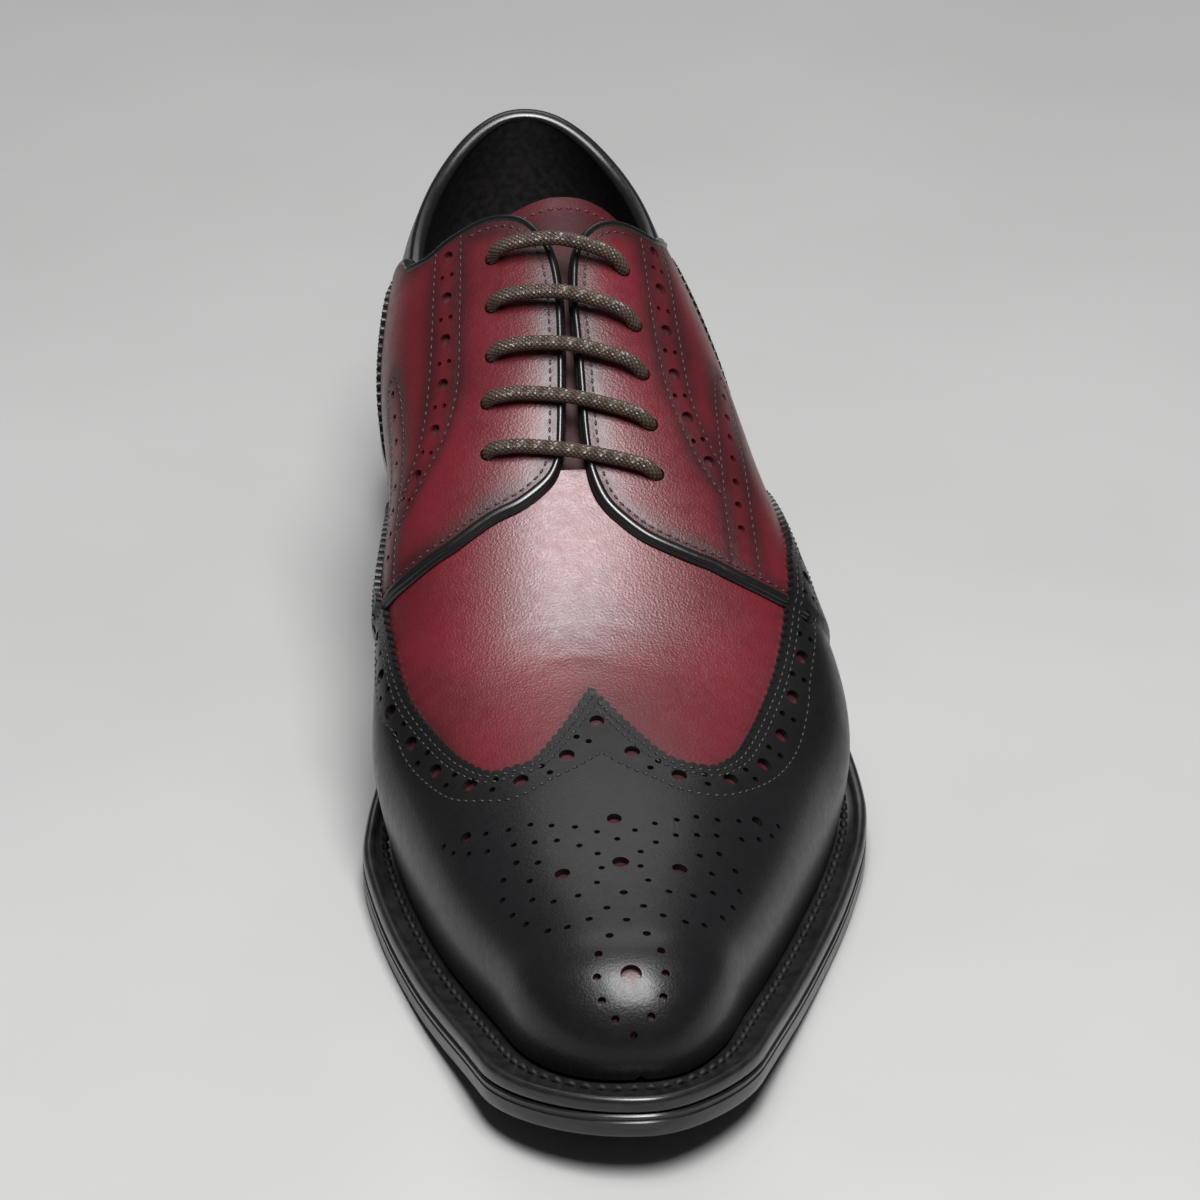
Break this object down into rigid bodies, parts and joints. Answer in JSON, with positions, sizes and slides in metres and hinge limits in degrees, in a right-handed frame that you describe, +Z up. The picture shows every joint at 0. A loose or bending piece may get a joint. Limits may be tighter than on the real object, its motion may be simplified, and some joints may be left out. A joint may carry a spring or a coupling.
{
  "type": "spectator wingtip derby shoe",
  "caption": "Left two-tone wingtip derby shoe, laced shut, with a welted leather sole and a stacked heel, hollow and open at the collar.",
  "frame": {"origin": "centre of the bounding box in plan, at floor level", "axes": "+Z up, +Y from toe to heel, +X to the outer side of the left foot"},
  "size_m": [0.1034, 0.306, 0.1093],
  "materials": {
    "burgundy_leather": "burnished, fine pebbled grain",
    "black_leather": "polished smooth",
    "lining_leather": "matt lining",
    "sole_leather": "dyed and waxed edge",
    "heel_rubber": "matt",
    "waxed_cord": "round waxed cotton"
  },
  "bodies": {
    "root": {"upper": "burgundy_leather", "wing_cap": "black_leather", "heel_counter": "black_leather", "tongue": "burgundy_leather", "lace": "waxed_cord", "insole": "lining_leather", "welt": "sole_leather", "outsole": "sole_leather", "heel_stack": "sole_leather", "heel_top_piece": "heel_rubber"}
  },
  "joints": []
}
